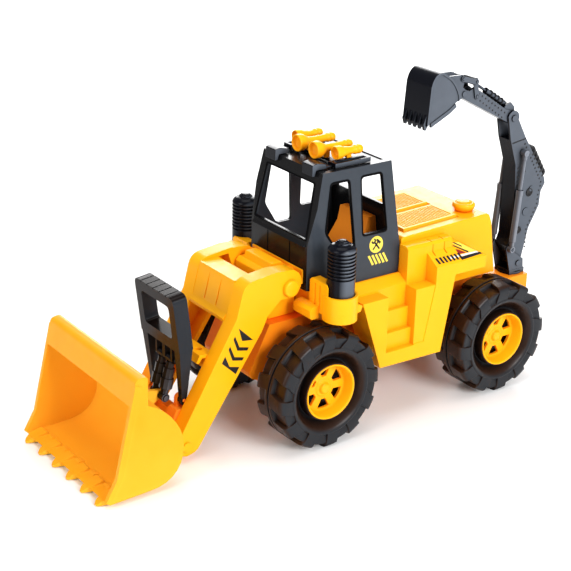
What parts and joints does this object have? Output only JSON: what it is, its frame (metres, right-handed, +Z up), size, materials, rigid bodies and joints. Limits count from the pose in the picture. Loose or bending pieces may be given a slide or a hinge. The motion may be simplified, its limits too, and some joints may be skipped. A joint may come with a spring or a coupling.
{
  "type": "toy backhoe loader",
  "caption": "Moulded plastic toy backhoe loader with a handle-worked front bucket, rolling wheels and a swinging rear digging arm.",
  "frame": {"origin": "on the ground, midway between the bucket teeth and the rearmost point of the backhoe boom, on the centre plane", "axes": "+X is the vehicle's left, +Y its rear, +Z up; the loader bucket faces -Y"},
  "size_m": [0.214, 0.654, 0.3601],
  "materials": {
    "yellow_plastic": "glossy moulded plastic",
    "amber_plastic": "glossy moulded plastic",
    "orange_plastic": "glossy moulded plastic",
    "black_plastic": "satin moulded plastic",
    "charcoal_plastic": "satin moulded plastic",
    "tyre_black": "satin moulded tread",
    "steel_rod": "drawn wire"
  },
  "bodies": {
    "vehicle": {"chassis_frame": "amber_plastic", "body_shell": "yellow_plastic", "nose_block": "yellow_plastic", "side_pod_left": "yellow_plastic", "side_pod_right": "yellow_plastic", "lamp_bracket_left": "yellow_plastic", "lamp_bracket_right": "yellow_plastic", "exhaust_stack_left": "black_plastic", "exhaust_stack_right": "black_plastic", "deck_grille_left": "yellow_plastic", "deck_grille_right": "yellow_plastic", "filler_cap": "yellow_plastic", "cab_shell": "charcoal_plastic", "roof_trim": "black_plastic", "seat": "orange_plastic", "roof_light_1": "yellow_plastic", "roof_light_2": "yellow_plastic", "roof_light_3": "yellow_plastic", "roof_light_4": "yellow_plastic", "arm_pin": "yellow_plastic"},
    "front_wheels": {"front_axle": "steel_rod", "front_tyre_left": "tyre_black", "front_tyre_right": "tyre_black", "front_rim_left": "yellow_plastic", "front_rim_right": "yellow_plastic"},
    "rear_wheels": {"rear_axle": "steel_rod", "rear_tyre_left": "tyre_black", "rear_tyre_right": "tyre_black", "rear_rim_left": "yellow_plastic", "rear_rim_right": "yellow_plastic"},
    "loader_arms": {"loader_arm_left": "yellow_plastic", "loader_arm_right": "yellow_plastic", "arm_crossbeam": "yellow_plastic", "arm_lower_brace": "yellow_plastic", "handle_bracket": "orange_plastic", "bucket_pin": "yellow_plastic"},
    "bucket": {"loader_bucket": "yellow_plastic", "link_pin_lower": "black_plastic"},
    "handle_lever": {"handle": "black_plastic", "link_pin_upper": "black_plastic"},
    "tilt_links": {"tilt_link_left": "black_plastic", "tilt_link_right": "black_plastic"},
    "swing_base": {"backhoe_base": "black_plastic", "boom_pin": "black_plastic"},
    "boom_arm": {"boom": "black_plastic", "stick_ram": "black_plastic", "stick_pin": "black_plastic"},
    "boom_barrels": {"boom_barrel_left": "black_plastic", "boom_barrel_right": "black_plastic"},
    "boom_rods": {"boom_rod_left": "black_plastic", "boom_rod_right": "black_plastic"},
    "stick_arm": {"stick": "black_plastic", "dig_pin": "black_plastic"},
    "dig_barrel": {"dig_ram_barrel": "black_plastic"},
    "dig_rod": {"dig_ram_rod": "black_plastic"},
    "crank": {"dig_crank": "black_plastic"},
    "dig_links": {"dig_link": "black_plastic"},
    "digger": {"dig_bucket": "black_plastic"}
  },
  "joints": [
    {"name": "front_axle_spin", "type": "hinge", "parent": "vehicle", "child": "front_wheels", "pos_m": [0, -0.064, 0.065], "axis": [1, 0, 0], "continuous": true},
    {"name": "rear_axle_spin", "type": "hinge", "parent": "vehicle", "child": "rear_wheels", "pos_m": [0, 0.181, 0.065], "axis": [1, 0, 0], "continuous": true},
    {"name": "arms_lift", "type": "hinge", "parent": "vehicle", "child": "loader_arms", "pos_m": [0, -0.0805, 0.1673], "axis": [-1, 0, 0], "range_deg": [0, 55]},
    {"name": "bucket_tilt", "type": "hinge", "parent": "loader_arms", "child": "bucket", "pos_m": [0, -0.207, 0.018], "axis": [1, 0, 0], "range_deg": [-8, 45]},
    {"name": "handle_tilt", "type": "hinge", "parent": "loader_arms", "child": "handle_lever", "pos_m": [0, -0.197, 0.06], "axis": [1, 0, 0], "range_deg": [-8, 45]},
    {"name": "link_pivot", "type": "hinge", "parent": "handle_lever", "child": "tilt_links", "pos_m": [0, -0.198, 0.1], "axis": [1, 0, 0], "range_deg": [-45, 8]},
    {"name": "backhoe_swing", "type": "hinge", "parent": "vehicle", "child": "swing_base", "pos_m": [0, 0.2903, 0.09], "axis": [0, 0, 1], "range_deg": [-85, 85]},
    {"name": "boom_lower", "type": "hinge", "parent": "swing_base", "child": "boom_arm", "pos_m": [0, 0.2903, 0.104], "axis": [-1, 0, 0], "range_deg": [0, 60]},
    {"name": "boom_barrel_pivot", "type": "hinge", "parent": "swing_base", "child": "boom_barrels", "pos_m": [0, 0.274, 0.126], "axis": [-1, 0, 0], "range_deg": [0, 64]},
    {"name": "boom_rod_slide", "type": "slide", "parent": "boom_barrels", "child": "boom_rods", "axis": [0, 0.0839, 0.9965], "range_m": [0, 0.027]},
    {"name": "stick_pivot", "type": "hinge", "parent": "boom_arm", "child": "stick_arm", "pos_m": [0, 0.2657, 0.2884], "axis": [1, 0, 0], "range_deg": [-30, 30]},
    {"name": "dig_bucket_pivot", "type": "hinge", "parent": "stick_arm", "child": "digger", "pos_m": [0, 0.185, 0.328], "axis": [1, 0, 0], "range_deg": [-20, 30]},
    {"name": "crank_pivot", "type": "hinge", "parent": "stick_arm", "child": "crank", "pos_m": [0, 0.206, 0.322], "axis": [1, 0, 0], "range_deg": [-20, 30]},
    {"name": "dig_link_pivot", "type": "hinge", "parent": "crank", "child": "dig_links", "pos_m": [0, 0.202, 0.34], "axis": [1, 0, 0], "range_deg": [-30, 20]},
    {"name": "dig_barrel_pivot", "type": "hinge", "parent": "stick_arm", "child": "dig_barrel", "pos_m": [0, 0.26, 0.303], "axis": [1, 0, 0], "range_deg": [-4.4, 6.6]},
    {"name": "dig_rod_slide", "type": "slide", "parent": "dig_barrel", "child": "dig_rod", "axis": [0, -0.8431, 0.5378], "range_m": [-0.0039, 0.0058]}
  ],
  "couplings": [
    {"joint": "handle_tilt", "follows": "bucket_tilt", "ratio": 1},
    {"joint": "link_pivot", "follows": "bucket_tilt", "ratio": -1},
    {"joint": "boom_barrel_pivot", "follows": "boom_lower", "ratio": 1.057},
    {"joint": "boom_rod_slide", "follows": "boom_lower", "m_per_rad": 0.0251},
    {"joint": "crank_pivot", "follows": "dig_bucket_pivot", "ratio": 1},
    {"joint": "dig_link_pivot", "follows": "dig_bucket_pivot", "ratio": -1},
    {"joint": "dig_barrel_pivot", "follows": "dig_bucket_pivot", "ratio": 0.2175},
    {"joint": "dig_rod_slide", "follows": "dig_bucket_pivot", "m_per_rad": 0.0109}
  ]
}
